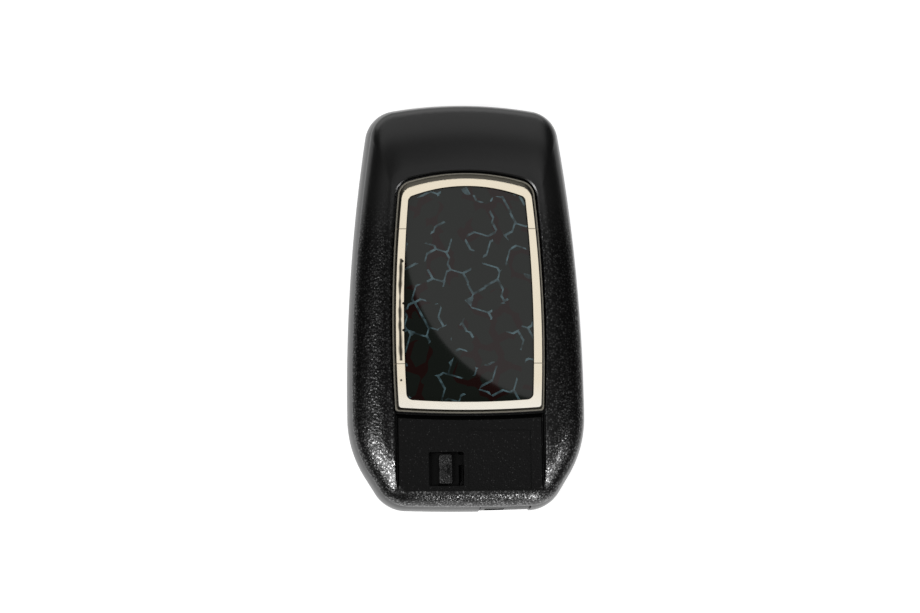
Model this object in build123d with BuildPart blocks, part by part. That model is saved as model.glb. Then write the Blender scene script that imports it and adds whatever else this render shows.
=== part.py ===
# Smart key fob for a car, lying on its button face with its back upwards.
# X runs across the fob, Y along it towards the narrow end, Z up from the surface it lies on.
# The origin is the middle of the fob at the height of that surface. Sizes are millimetres.

import os
from math import atan2, pi, tan

from build123d import *

os.makedirs("parts", exist_ok=True)

# Outline of the fob at the rim, where the two covers meet
body_length = 78.2
body_width = 44.8
top_width = 35.0
top_crown = 2.0
bottom_width = 31.0
bottom_crown = 0.35
waist_height = 11.5
side_bulge = 1.6
corner_radius = 5.6
waist_radius = 21.0
foot_radius = 6.5

# Outline of the flat crown on the back, set in from the rim
crown_top_inset = 12.9
crown_bottom_inset = 3.8
crown_width = 31.4
crown_top_width = 28.6
crown_top_crown = 1.6
crown_bottom_width = 21.6
crown_bottom_crown = 0.3
crown_waist_height = 7.7
crown_bulge = 0.9
crown_corner_radius = 3.2
crown_waist_radius = 12.0
crown_foot_radius = 2.5

# Heights
parting_height = 10.0
crown_rise = 3.4
crown_power = 1.75
panel_depth = 0.5
floor_thickness = 1.8
ledge_height = 3.0
back_roof = 0.95

# Front cover
front_flare = 0.6
front_face_inset = 4.4
cover_wall = 1.6
ledge_inset = 4.0
tongue_inset = 0.95
tongue_wall = 0.6
tongue_depth = 0.9
fit_gap = 0.1
slide_gap = 0.05

# Window frame and what it holds
frame_length = 44.9
frame_width = 28.2
frame_top_width = 25.0
frame_bottom_width = 27.6
frame_middle = 1.87
frame_widest_drop = 3.0
frame_top_crown = 2.2
frame_bottom_crown = 0.5
frame_corner_radius = 2.6
frame_foot_radius = 0.6
frame_band = 1.65
frame_top_band = 1.5
frame_corner_band = 1.25
frame_rise = 1.05
frame_draft = 0.35
frame_top_draft = 1.05
frame_flange = 0.6
frame_top_flange = 1.25
frame_flange_height = 0.15
frame_edge = 0.12
frame_bevel = 0.15
frame_opening_corner = 1.2
frame_opening_foot = 1.3
frame_lip = 0.42
glass_overlap = 0.7
glass_thickness = 0.95
glass_gap = 0.05
print_thickness = 0.15
carrier_side_margin = 0.62
carrier_top_margin = 1.27
carrier_bottom_margin = 0.7
carrier_thickness = 0.95
carrier_edge = 0.15
carrier_gap = 0.3
channel_corner = 1.4
channel_edge = 0.35
channel_edge_steps = ((-1.0, 0.0), (-0.3, 0.3), (0.3, 1.7))
pocket_foot_slope = 0.95
pocket_depth = 1.0
tape_thickness = 0.1
tape_width = 1.6
tape_inset = 0.3
tape_corner = 0.6

# Lower panel
panel_width = 29.2
groove_ledge = 0.12
groove_width = 0.65
groove_depth = 0.35
groove_foot = 0.1
cut_clear = 0.05
label_width = 12.3
label_length = 11.7
label_depth = 0.25
label_middle_x = 5.65
label_bottom_inset = 3.0
label_radius = 0.5
slider_window_width = 6.8
slider_window_length = 6.6
slider_window_shift = 0.1
slider_window_inset = 3.9
slider_window_radius = 0.4

# Release slider
slider_travel = 1.4
slider_plate_length = 8.8
slider_plate_width = 6.3
slider_plate_reach = 2.7
slider_plate_thickness = 0.85
slider_to_head = 7.1
knob_width = 2.6
knob_length = 5.8
knob_sink = 0.15
knob_edge = 0.5
arrow_depth = 0.4
arrow_size = 1.9
slider_rib = 0.8
slider_rib_length = 9.2
latch_offset = 1.9
latch_z = 7.9
latch_arm_width = 2.0
latch_nose_length = 1.3
latch_nose_depth = 1.3
latch_gap = 0.25
latch_clearance = 0.2
latch_room = 1.6
spring_wire = 0.35
spring_radius = 0.7
spring_length = 3.6
spring_turns = 5
spring_seat = 1.5
spring_seat_width = 2.7
peg_radius = 0.4
peg_length = 0.8
retainer_thickness = 0.6
retainer_width = 9.5
retainer_post_radius = 1.3
retainer_screw_radius = 0.6
retainer_screw_grip = 1.6
retainer_reach = 1.4
retainer_screw_shifts = ((0.0, 3.9), (1.5, -3.1))

# Emergency key
head_width = 9.5
head_length = 12.2
head_recess = 0.25
head_gap = 0.25
head_top_gap = 0.3
guide_rib = 1.1
ring_hole_radius = 1.9
ring_hole_shift = 1.95
ring_bar = 2.3
ring_slot_z = 5.6
ring_slot_height = 2.4
blade_width = 7.7
blade_thickness = 2.2
blade_end_room = 35.2
blade_height = 7.3
blade_tang_length = 4.6
blade_tang_width = 5.6
blade_point = 2.6
track_width = 1.9
track_depth = 0.7
track_start = 12.0
track_steps = (0.0, 0.0, 0.8, 0.9, -0.3, -0.9, 0.2, 0.9, 0.4, 0.0, 0.0)
pin_radius = 0.8
pin_inset = 2.2
pin_low_z = 3.0
pin_sink = 0.1

# Inner module
module_gap = 0.25
module_wall = 1.0
module_height = 6.9
module_floor = 0.6
module_cover_thickness = 0.6
board_z = 4.6
board_thickness = 0.8
board_gap = 0.15
board_ledge = 0.9
channel_wall = 1.0
channel_side_gap = 0.2
channel_end_gap = 0.6
cell_radius = 10.0
cell_thickness = 3.2
cell_side_room = 1.15
cell_guide_gap = 0.4
cell_y = -6.0
cell_lift = 0.5
cell_gap = 0.3
cell_ring_wall = 0.7
contact_thickness = 0.2
contact_width = 4.0
contact_gap = 0.05
cell_step = 0.9
cell_rib_span = 20.4
cell_rib_height = 3.4
gasket_width = 0.4
gasket_depth = 0.3
gasket_margin = 0.3
screw_radius = 0.7
screw_head_radius = 1.25
screw_length = 3.4
screw_boss_radius = 1.5
screw_top_insets = (3.0, 8.0)
screw_bottom_insets = (4.3, 17.0)
screw_head_height = 0.4
screw_slot = 0.35

# Buttons
button_width = 18.0
button_length = 9.6
button_radius = 3.0
button_pitch = 12.4
button_middle = 0.2
button_sink = 0.25
button_gap = 0.15
button_edge = 0.3
button_skin = 1.0
button_wall = 1.4
flange_margin = 0.8
flange_thickness = 0.6
post_radius = 1.5
membrane_thickness = 0.6
pip_radius = 1.2
pip_height = 0.45
pip_room = 0.5
membrane_width = 22.5
membrane_length = 38.5
panel_insert_width = 25.0
panel_insert_length = 45.0
panel_insert_middle = 1.6
panel_insert_thickness = 0.8
panel_insert_sink = 0.15
panel_insert_crown = 1.6
panel_insert_radius = 3.5
insert_edge = 0.15
switch_side = 4.5
switch_body = 0.8
stem_radius = 1.0
stem_height = 0.25
light_radius = 0.8
light_collar = 0.5
light_y = 21.2
led_height = 0.6
controller_inset = 10.0
controller_y = 12.0
controller_size = (7.0, 7.0, 0.9)
transponder_x = -11.0
transponder_top_inset = 12.2
transponder_size = (5.0, 5.0, 0.8)
crystal_x = -4.0
crystal_top_inset = 17.2
crystal_size = (3.2, 5.0, 1.1)
chip_edge = 0.15
capacitor_inset = 3.4
capacitor_y = 12.0
capacitor_pitch = 1.8
capacitor_size = (1.0, 0.5)
antenna_x = 5.0
antenna_top_inset = 12.7
antenna_side = 10.0
antenna_height = 3.2
antenna_flange = 0.6
winding_depth = 1.6

top_y = body_length / 2
bottom_y = -body_length / 2
crown_z = parting_height + crown_rise
panel_z = crown_z - panel_depth
pocket_z = panel_z - pocket_depth
carrier_z = pocket_z + tape_thickness
carrier_top_z = carrier_z + carrier_thickness
frame_top_z = carrier_top_z + frame_rise
glass_top_z = frame_top_z - frame_lip - glass_gap
glass_z = glass_top_z - glass_thickness
roof_z = parting_height + back_roof
channel_margin = carrier_side_margin + carrier_gap
pocket_top_margin = carrier_top_margin + carrier_gap
pocket_bottom_margin = carrier_bottom_margin + carrier_gap
slope_side = channel_margin - groove_ledge - groove_width / 2
carrier_margins = (carrier_side_margin, carrier_top_margin, carrier_bottom_margin)
tape_margins = [margin - tape_inset for margin in carrier_margins]
tape_hole_margins = [margin - tape_width for margin in tape_margins]
label_middle_y = bottom_y + label_bottom_inset + label_length / 2

module_inset = cover_wall + module_gap
cell_x = cell_radius + cell_side_room + module_inset + module_wall - body_width / 2
head_middle_x = cell_x + cell_radius + cell_guide_gap + channel_wall + channel_side_gap + blade_width / 2
head_low_x = head_middle_x - head_width / 2
guide_low_x = head_middle_x - blade_width / 2 - channel_side_gap - channel_wall

slider_y = bottom_y + slider_window_inset + slider_window_length / 2
slider_middle_x = head_low_x - slider_to_head
slider_window_x = slider_middle_x + slider_window_shift
slider_high_x = slider_middle_x + slider_plate_reach
slider_low_x = slider_high_x - slider_plate_width
slider_top_z = roof_z - slide_gap
knob_top_z = panel_z - knob_sink
spring_wall_x = slider_low_x - spring_length
spring_z = roof_z - spring_radius - spring_wire / 2 - slide_gap
retainer_top_z = spring_z - spring_radius - spring_wire / 2 - slide_gap / 2
slider_foot_z = retainer_top_z + slide_gap
retainer_low_x = spring_wall_x - retainer_reach
retainer_screws_at = [
    (edge_x + shift[0], slider_y + shift[1])
    for edge_x, shift in zip((spring_wall_x, slider_high_x), retainer_screw_shifts)
]
latch_y = slider_y + latch_offset

head_inner_y = bottom_y + head_length
ring_hole_x = head_middle_x - ring_hole_shift
head_top_z = parting_height - head_top_gap
ring_hole_y = bottom_y + head_recess + ring_bar + ring_hole_radius
latch_tip_x = head_low_x - latch_gap
blade_x = head_middle_x
blade_length = body_length - blade_end_room
blade_tip_y = head_inner_y + blade_length
track_start_y = head_inner_y + track_start
pin_y = head_inner_y - pin_inset
bay_low_x = head_low_x - head_gap
bay_width = head_width + 2 * head_gap
bay_top_y = head_inner_y + head_top_gap
bay_length = bay_top_y + guide_rib - bottom_y - 0.8 * cover_wall
bay_foot_z = floor_thickness - 0.2
retainer_high_x = bay_low_x - guide_rib - module_gap

module_bottom_y = bay_top_y + guide_rib + module_gap
module_z = ledge_height
module_top_z = module_z + module_height
board_top_z = board_z + board_thickness
cell_z = board_top_z + cell_lift
guide_low_y = module_bottom_y + module_wall + slide_gap
guide_high_y = blade_tip_y + channel_end_gap + channel_wall
frame_opening_radii = (frame_opening_corner - frame_corner_radius, frame_opening_foot)
guide_top_z = blade_height + blade_thickness / 2 + channel_side_gap + channel_wall
screw_places = [
    (side * x, y)
    for side in (-1, 1)
    for x, y in (
        (top_width / 2 - screw_top_insets[0], top_y - screw_top_insets[1]),
        (body_width / 2 - screw_bottom_insets[0], bottom_y + screw_bottom_insets[1]),
    )
]
membrane_z = floor_thickness + flange_thickness
led_z = board_z - led_height
antenna_y = top_y - antenna_top_inset
board_chips = (
    ("controller_chip", guide_low_x - controller_inset, controller_y, controller_size),
    ("transponder_chip", transponder_x, top_y - transponder_top_inset, transponder_size),
    ("crystal", crystal_x, top_y - crystal_top_inset, crystal_size),
)
button_places = [(0, button_middle + step * button_pitch) for step in (1, 0, -1)]


def mix(start, end, share):
    return start + (end - start) * share


def six_sided(z, top, corner, waist, foot, bottom, bulge, radii):
    """Symmetric outline with crowned ends, bowed sides and cut lower corners, at height z."""
    corner_r, waist_r, foot_r = radii
    side_middle = ((corner[0] + waist[0]) / 2 + bulge, (corner[1] + waist[1]) / 2)
    with BuildSketch(Plane.XY.offset(z)) as outline:
        with BuildLine():
            ThreePointArc((-corner[0], corner[1]), (0, top), corner)
            ThreePointArc(corner, side_middle, waist)
            Line(waist, foot)
            ThreePointArc(foot, (0, bottom), (-foot[0], foot[1]))
            Line((-foot[0], foot[1]), (-waist[0], waist[1]))
            ThreePointArc((-waist[0], waist[1]), (-side_middle[0], side_middle[1]), (-corner[0], corner[1]))
        make_face()
        fillet(outline.vertices().group_by(Axis.Y)[1], waist_r)
        fillet(outline.vertices().group_by(Axis.Y)[-1], corner_r)
        fillet(outline.vertices().group_by(Axis.Y)[0], foot_r)
    return outline.sketch


def body_outline(z, inset=0.0, share=0.0):
    """The fob's outline at height z, set in from the rim, or moved by share towards the crown."""
    corner = (top_width / 2, top_y - top_crown)
    waist = (body_width / 2, bottom_y + waist_height)
    foot = (bottom_width / 2, bottom_y + bottom_crown)
    crown_corner = (crown_top_width / 2, top_y - crown_top_inset - crown_top_crown)
    crown_waist = (crown_width / 2, bottom_y + crown_bottom_inset + crown_waist_height)
    crown_foot = (crown_bottom_width / 2, bottom_y + crown_bottom_inset + crown_bottom_crown)
    lean = atan2(waist[0] - foot[0], waist[1] - foot[1])
    waist_shift = inset * tan(lean / 2)
    foot_shift = inset * tan((pi / 2 - lean) / 2)
    return six_sided(
        z,
        mix(top_y, top_y - crown_top_inset, share) - inset,
        (mix(corner[0], crown_corner[0], share) - inset, mix(corner[1], crown_corner[1], share) - inset),
        (mix(waist[0], crown_waist[0], share) - inset, mix(waist[1], crown_waist[1], share) + waist_shift),
        (mix(foot[0], crown_foot[0], share) - foot_shift, mix(foot[1], crown_foot[1], share) + inset),
        mix(bottom_y, bottom_y + crown_bottom_inset, share) + inset,
        mix(side_bulge, crown_bulge, share),
        (
            max(mix(corner_radius, crown_corner_radius, share) - inset, 0.5),
            mix(waist_radius, crown_waist_radius, share) - inset,
            max(mix(foot_radius, crown_foot_radius, share) - inset, 0.5),
        ),
    )


def front_sections(inset):
    """Outlines of the front cover's outside from the rim to its flat face, each set in by inset."""
    shape = (
        (1.0, 0.0),
        (0.83, -0.7 * front_flare),
        (0.62, -front_flare),
        (0.38, -0.5 * front_flare),
        (0.19, 0.14 * front_face_inset),
        (0.07, 0.46 * front_face_inset),
        (0.0, front_face_inset),
    )
    return [body_outline(parting_height * height, step + inset) for height, step in shape]


def window_outline(z, side=0.0, top=0.0, bottom=0.0, corner=0.0, foot=None, shoulder=None):
    """Outline of the window frame at height z, with each edge moved outwards by its margin.

    The sides move by shoulder at their upper ends where it is given, and by side elsewhere.
    """
    head = frame_middle + frame_length / 2 + top
    base = frame_middle - frame_length / 2 - bottom
    shoulder_margin = side if shoulder is None else shoulder
    corner_x, corner_y = frame_top_width / 2 + shoulder_margin, head - frame_top_crown
    foot_x, foot_y = frame_bottom_width / 2 + side, base + frame_bottom_crown
    side_x, side_y = frame_width / 2 + side, frame_middle - frame_widest_drop
    foot_r = frame_foot_radius if foot is None else foot
    with BuildSketch(Plane.XY.offset(z)) as outline:
        with BuildLine():
            ThreePointArc((-corner_x, corner_y), (0, head), (corner_x, corner_y))
            ThreePointArc((corner_x, corner_y), (side_x, side_y), (foot_x, foot_y))
            ThreePointArc((foot_x, foot_y), (0, base), (-foot_x, foot_y))
            ThreePointArc((-foot_x, foot_y), (-side_x, side_y), (-corner_x, corner_y))
        make_face()
        fillet(outline.vertices().group_by(Axis.Y)[-1], frame_corner_radius + corner)
        fillet(outline.vertices().group_by(Axis.Y)[0], foot_r)
    return outline.sketch


def opening_outline(z, grow, corner=0.0, foot=None):
    """Outline of the frame's opening at height z, grown by a margin."""
    side = grow - frame_band
    return window_outline(z, side, grow - frame_top_band, side, corner, foot, grow - frame_corner_band)


def save(piece, name):
    """Label a piece, write it as a STEP file and print its size."""
    piece.label = name
    export_step(piece, f"parts/{name}.step")
    print(name, len(piece.solids()), "solids", round(piece.volume, 1), "mm3")


def channel_outline(z, margin):
    """Outline of the panel channel at height z, grown by margin; it runs out past the fob's lower end."""
    head = frame_middle + frame_length / 2 + pocket_top_margin + margin
    corner_x, corner_y = frame_top_width / 2 + channel_margin + margin, head - frame_top_crown
    foot_x, foot_y = panel_width / 2 + margin, frame_middle - frame_length / 2
    side_x, side_y = frame_width / 2 + channel_margin + margin, frame_middle - frame_widest_drop
    with BuildSketch(Plane.XY.offset(z)) as outline:
        with BuildLine():
            ThreePointArc((-corner_x, corner_y), (0, head), (corner_x, corner_y))
            ThreePointArc((corner_x, corner_y), (side_x, side_y), (foot_x, foot_y))
            Line((foot_x, foot_y), (foot_x, -body_length))
            Line((foot_x, -body_length), (-foot_x, -body_length))
            Line((-foot_x, -body_length), (-foot_x, foot_y))
            ThreePointArc((-foot_x, foot_y), (-side_x, side_y), (-corner_x, corner_y))
        make_face()
        fillet(outline.vertices().group_by(Axis.Y)[-1], frame_corner_radius + channel_corner + margin)
    return outline.sketch


def module_outline(z, inset):
    """Outline of the inner module at height z; the end by the key head is cut straight."""
    with BuildSketch(Plane.XY.offset(z)) as outline:
        add(body_outline(0, inset))
        with Locations((0, module_bottom_y + inset - module_inset)):
            Rectangle(2 * body_width, 2 * body_length, align=(Align.CENTER, Align.MIN), mode=Mode.INTERSECT)
    return outline.sketch


def insert_outline(z, margin):
    """Outline of the gloss insert round the buttons at height z, grown by margin."""
    side = panel_insert_width / 2 + margin
    half = panel_insert_length / 2 + margin
    with BuildSketch(Plane.XY.offset(z)) as outline:
        with BuildLine(Location((0, panel_insert_middle))):
            ThreePointArc((-side, half - panel_insert_crown), (0, half), (side, half - panel_insert_crown))
            Line((side, half - panel_insert_crown), (side, panel_insert_crown - half))
            ThreePointArc((side, panel_insert_crown - half), (0, -half), (-side, panel_insert_crown - half))
            Line((-side, panel_insert_crown - half), (-side, half - panel_insert_crown))
        make_face()
        fillet(outline.vertices(), panel_insert_radius + margin)
    return outline.sketch


def track_outline(z):
    """Winding key track at height z, open at the blade's tip."""
    pitch = (blade_tip_y + track_width - track_start_y) / (len(track_steps) - 1)
    middle = [(blade_x + shift, track_start_y + pitch * step) for step, shift in enumerate(track_steps)]
    right = [(x + track_width / 2, y) for x, y in middle]
    left = [(x - track_width / 2, y) for x, y in middle]
    with BuildSketch(Plane.XY.offset(z)) as outline:
        with BuildLine():
            Spline(*right)
            Line(right[-1], left[-1])
            Spline(*reversed(left))
            Line(left[0], right[0])
        make_face()
    return outline.sketch


# Shallow groove along both sides of the lower panel, to be cut out of the back cover
groove_middle = -groove_ledge - groove_width / 2
with BuildPart() as panel_groove:
    loft(
        sections=[
            channel_outline(panel_z - groove_depth, groove_middle + groove_foot / 2),
            channel_outline(panel_z + cut_clear, groove_middle + groove_width / 2),
        ],
        ruled=True,
    )
    loft(
        sections=[
            channel_outline(panel_z - groove_depth, groove_middle - groove_foot / 2),
            channel_outline(panel_z + cut_clear, groove_middle - groove_width / 2),
        ],
        ruled=True,
        mode=Mode.SUBTRACT,
    )

# Back cover
crown_steps = (0.0, 0.22, 0.45, 0.66, 0.84, 0.96, 1.0)
with BuildPart() as back_cover:
    loft(
        sections=[
            body_outline(
                parting_height + crown_rise * rise, share=1 - (1 - rise**crown_power) ** (1 / crown_power)
            )
            for rise in crown_steps
        ]
    )
    # Panel channel, open at the lower end, with a rounded upper edge
    loft(
        sections=[channel_outline(panel_z, 0.0)]
        + [
            channel_outline(crown_z + lift * channel_edge, grow * channel_edge)
            for lift, grow in channel_edge_steps
        ],
        ruled=True,
        mode=Mode.SUBTRACT,
    )
    add(panel_groove.part, mode=Mode.SUBTRACT)
    # Pocket for the window carrier, with a sloping lower side
    with BuildSketch(Plane.XY.offset(pocket_z)):
        add(window_outline(0, channel_margin, pocket_top_margin, pocket_bottom_margin, channel_corner))
    extrude(amount=crown_rise, mode=Mode.SUBTRACT)
    loft(
        sections=[
            window_outline(pocket_z + cut_clear, slope_side, 0.0, pocket_bottom_margin - cut_clear),
            window_outline(panel_z + cut_clear, slope_side, 0.0, pocket_bottom_margin + pocket_foot_slope),
        ],
        ruled=True,
        mode=Mode.SUBTRACT,
    )
    # Hollow underneath
    with BuildSketch(Plane.XY.offset(parting_height)):
        add(body_outline(0, cover_wall))
    extrude(amount=back_roof, mode=Mode.SUBTRACT)
    # Label recess
    with BuildSketch(Plane.XY.offset(panel_z - label_depth)):
        with Locations((label_middle_x, label_middle_y)):
            RectangleRounded(label_width, label_length, label_radius)
    extrude(amount=crown_rise, mode=Mode.SUBTRACT)
    # Opening for the slider's knob
    with BuildSketch(Plane.XY.offset(parting_height)):
        with Locations((slider_window_x, slider_y)):
            RectangleRounded(slider_window_width, slider_window_length, slider_window_radius)
    extrude(amount=crown_rise, mode=Mode.SUBTRACT)
    # Tongue that enters the front cover, broken where the key head stands
    with BuildSketch(Plane.XY.offset(parting_height - tongue_depth)):
        add(body_outline(0, tongue_inset))
        add(body_outline(0, tongue_inset + tongue_wall), mode=Mode.SUBTRACT)
        with Locations((head_middle_x, bottom_y)):
            Rectangle(head_width + 2 * (guide_rib + head_gap), head_length, mode=Mode.SUBTRACT)
    extrude(amount=tongue_depth)
    # Guides beside the slider, and the wall its spring leans on
    with BuildSketch(Plane.XY.offset(slider_foot_z)):
        for side in (-1, 1):
            rib_y = slider_y + side * (slider_plate_length / 2 + fit_gap + slider_rib / 2)
            with Locations((slider_low_x, rib_y)):
                Rectangle(slider_rib_length, slider_rib)
        with Locations((spring_wall_x - slider_rib / 2, slider_y)):
            Rectangle(slider_rib, spring_seat_width)
    extrude(amount=roof_z - slider_foot_z)
    with BuildSketch(Plane.YZ.offset(spring_wall_x)):
        with Locations((slider_y, spring_z)):
            Circle(peg_radius)
    extrude(amount=peg_length)
    # Screw posts for the retainer
    with BuildSketch(Plane.XY.offset(retainer_top_z)):
        with Locations(*retainer_screws_at):
            Circle(retainer_post_radius)
    extrude(amount=roof_z - retainer_top_z)
    with BuildSketch(Plane.XY.offset(retainer_top_z)):
        with Locations(*retainer_screws_at):
            Circle(retainer_screw_radius)
    extrude(amount=roof_z - retainer_top_z, mode=Mode.SUBTRACT)
save(back_cover.part, "back_cover")

# Window carrier with the pocket that the glass lies in
with BuildPart() as window_carrier:
    with BuildSketch(Plane.XY.offset(carrier_z)):
        add(window_outline(0, *carrier_margins, channel_corner - carrier_gap))
    extrude(amount=carrier_thickness)
    chamfer(window_carrier.faces().sort_by(Axis.Z)[-1].outer_wire().edges(), carrier_edge)
    with BuildSketch(Plane.XY.offset(glass_z - print_thickness)):
        add(opening_outline(0, glass_overlap + glass_gap))
    extrude(amount=carrier_thickness, mode=Mode.SUBTRACT)
save(window_carrier.part, "window_carrier")

with BuildPart() as carrier_tape:
    with BuildSketch(Plane.XY.offset(pocket_z)):
        add(window_outline(0, *tape_margins, tape_corner))
        add(window_outline(0, *tape_hole_margins, tape_corner), mode=Mode.SUBTRACT)
    extrude(amount=tape_thickness)
save(carrier_tape.part, "carrier_tape")

# Plated frame with a thin flange round its foot
with BuildPart() as window_frame:
    with BuildSketch(Plane.XY.offset(carrier_top_z)):
        add(window_outline(0, frame_flange, frame_top_flange, frame_flange, frame_flange))
    extrude(amount=frame_flange_height)
    loft(
        sections=[
            window_outline(
                carrier_top_z + frame_flange_height, frame_draft, frame_top_draft, frame_draft, frame_draft
            ),
            window_outline(frame_top_z - frame_edge, *3 * [frame_edge / 2], frame_edge),
            window_outline(frame_top_z),
        ],
        ruled=True,
    )
    with BuildSketch(Plane.XY.offset(carrier_top_z)):
        add(opening_outline(0, glass_overlap + glass_gap))
    extrude(amount=frame_top_z - frame_lip - carrier_top_z, mode=Mode.SUBTRACT)
    loft(
        sections=[
            opening_outline(frame_top_z - frame_lip, 0.0, *frame_opening_radii),
            opening_outline(frame_top_z, frame_bevel, *frame_opening_radii),
        ],
        mode=Mode.SUBTRACT,
    )
save(window_frame.part, "window_frame")

with BuildPart() as window_glass:
    with BuildSketch(Plane.XY.offset(glass_z)):
        add(opening_outline(0, glass_overlap))
    extrude(amount=glass_thickness)
save(window_glass.part, "window_glass")

with BuildPart() as window_print:
    with BuildSketch(Plane.XY.offset(glass_z - print_thickness)):
        add(opening_outline(0, glass_overlap))
    extrude(amount=print_thickness)
save(window_print.part, "window_print")

# Front cover
with BuildPart() as front_cover:
    loft(sections=front_sections(0.0))
    # Room for the module, with a ledge under it and a shallow pocket for the rubber pad
    loft(
        sections=front_sections(cover_wall)[:4] + [body_outline(ledge_height, cover_wall)],
        mode=Mode.SUBTRACT,
    )
    with BuildSketch(Plane.XY.offset(floor_thickness)):
        add(body_outline(0, ledge_inset))
    extrude(amount=parting_height, mode=Mode.SUBTRACT)
    # Rebate for the back cover's tongue
    with BuildSketch(Plane.XY.offset(parting_height - tongue_depth - fit_gap)):
        add(body_outline(0, tongue_inset - fit_gap))
    extrude(amount=tongue_depth + fit_gap, mode=Mode.SUBTRACT)
    # Walls round the bay of the key head
    with BuildSketch(Plane.XY.offset(bay_foot_z)):
        with Locations((head_middle_x, bay_top_y + guide_rib)):
            Rectangle(bay_width + 2 * guide_rib, bay_length, align=(Align.CENTER, Align.MAX))
    extrude(amount=head_top_z + fit_gap - bay_foot_z)
    with BuildSketch(Plane.XY):
        with Locations((head_middle_x, bay_top_y)):
            Rectangle(bay_width, body_width, align=(Align.CENTER, Align.MAX))
    extrude(amount=parting_height, mode=Mode.SUBTRACT)
    with BuildSketch(Plane.XZ.offset(-bay_top_y)):
        with Locations((blade_x, blade_height)):
            Rectangle(blade_width + 2 * channel_side_gap, blade_thickness + 2 * channel_side_gap)
    extrude(amount=-guide_rib, mode=Mode.SUBTRACT)
    with BuildSketch(Plane.XY.offset(latch_z - latch_clearance)):
        with Locations((bay_low_x, latch_y)):
            Rectangle(3 * guide_rib, latch_arm_width + 2 * latch_clearance)
    extrude(amount=parting_height, mode=Mode.SUBTRACT)
    # Seat of the gloss insert, the button openings and the light hole
    with BuildSketch(Plane.XY):
        add(insert_outline(0, fit_gap))
    extrude(amount=panel_insert_sink + panel_insert_thickness, mode=Mode.SUBTRACT)
    with BuildSketch(Plane.XY):
        with Locations(*button_places):
            RectangleRounded(
                button_width + 2 * button_gap, button_length + 2 * button_gap, button_radius + button_gap
            )
        with Locations((0, light_y)):
            Circle(light_radius + fit_gap)
    extrude(amount=floor_thickness, mode=Mode.SUBTRACT)
save(front_cover.part, "front_cover")

with BuildPart() as button_panel:
    with BuildSketch(Plane.XY.offset(panel_insert_sink)):
        add(insert_outline(0, 0.0))
        with Locations(*button_places):
            RectangleRounded(
                button_width + 2 * button_gap, button_length + 2 * button_gap, button_radius + button_gap,
                mode=Mode.SUBTRACT,
            )
        with Locations((0, light_y)):
            Circle(light_radius + fit_gap, mode=Mode.SUBTRACT)
    extrude(amount=panel_insert_thickness)
    chamfer(button_panel.faces().sort_by(Axis.Z)[0].outer_wire().edges(), insert_edge)
save(button_panel.part, "button_panel")

# Push buttons: hollow caps with a flange inside the cover
for name, (button_x, button_y) in zip(("lock_button", "unlock_button", "trunk_button"), button_places):
    with BuildPart() as push_button:
        with BuildSketch(Plane.XY.offset(button_sink)):
            with Locations((button_x, button_y)):
                RectangleRounded(button_width, button_length, button_radius)
        extrude(amount=floor_thickness - button_sink)
        fillet(push_button.faces().sort_by(Axis.Z)[0].edges(), button_edge)
        with BuildSketch(Plane.XY.offset(floor_thickness)):
            with Locations((button_x, button_y)):
                RectangleRounded(
                    button_width + 2 * flange_margin,
                    button_length + 2 * flange_margin,
                    button_radius + flange_margin,
                )
        extrude(amount=flange_thickness)
        with BuildSketch(Plane.XY.offset(button_sink + button_skin)):
            with Locations((button_x, button_y)):
                RectangleRounded(button_width - 2 * button_wall, button_length - 2 * button_wall, button_wall)
                Circle(post_radius, mode=Mode.SUBTRACT)
        extrude(amount=floor_thickness + flange_thickness, mode=Mode.SUBTRACT)
    save(push_button.part, name)

with BuildPart() as keypad_membrane:
    with BuildSketch(Plane.XY.offset(membrane_z)):
        with Locations((0, button_middle)):
            RectangleRounded(membrane_width, membrane_length, button_radius)
    extrude(amount=membrane_thickness)
    with BuildSketch(Plane.XY.offset(membrane_z + membrane_thickness)):
        with Locations(*button_places):
            Circle(pip_radius)
    extrude(amount=pip_height)
save(keypad_membrane.part, "keypad_membrane")

with BuildPart() as light_guide:
    with BuildSketch(Plane.XY.offset(button_sink)):
        with Locations((0, light_y)):
            Circle(light_radius)
    extrude(amount=led_z - fit_gap - button_sink)
    with BuildSketch(Plane.XY.offset(floor_thickness)):
        with Locations((0, light_y)):
            Circle(light_radius + light_collar)
    extrude(amount=flange_thickness)
save(light_guide.part, "light_guide")

# Module case with its floor, the ledge for the board and the screw posts
with BuildPart() as module_case:
    with BuildSketch(Plane.XY.offset(module_z)):
        add(module_outline(0, module_inset))
    extrude(amount=module_height)
    with BuildSketch(Plane.XY.offset(board_z)):
        add(module_outline(0, module_inset + module_wall))
    extrude(amount=module_height, mode=Mode.SUBTRACT)
    with BuildSketch(Plane.XY.offset(module_z + module_floor)):
        add(module_outline(0, module_inset + module_wall + board_ledge))
    extrude(amount=module_height, mode=Mode.SUBTRACT)
    with BuildSketch(Plane.XY.offset(module_z + module_floor)):
        with Locations(*screw_places):
            Circle(screw_boss_radius)
    extrude(amount=module_height - module_floor)
    with BuildSketch(Plane.XY.offset(module_top_z - screw_length)):
        with Locations(*screw_places):
            Circle(screw_radius)
    extrude(amount=screw_length, mode=Mode.SUBTRACT)
    with BuildSketch(Plane.XY.offset(module_z)):
        with Locations(*button_places):
            Circle(pip_radius + pip_room)
        with Locations((0, light_y)):
            Circle(light_radius + fit_gap)
    extrude(amount=module_floor, mode=Mode.SUBTRACT)
    with BuildSketch(Plane.XZ.offset(-module_bottom_y)):
        with Locations((blade_x, blade_height)):
            Rectangle(blade_width + 2 * channel_side_gap, blade_thickness + 2 * channel_side_gap)
    extrude(amount=-module_wall, mode=Mode.SUBTRACT)
    with BuildSketch(Plane.XY.offset(module_top_z - gasket_depth)):
        add(module_outline(0, module_inset + gasket_margin))
        add(module_outline(0, module_inset + gasket_margin + gasket_width), mode=Mode.SUBTRACT)
    extrude(amount=gasket_depth, mode=Mode.SUBTRACT)
save(module_case.part, "module_case")

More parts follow.
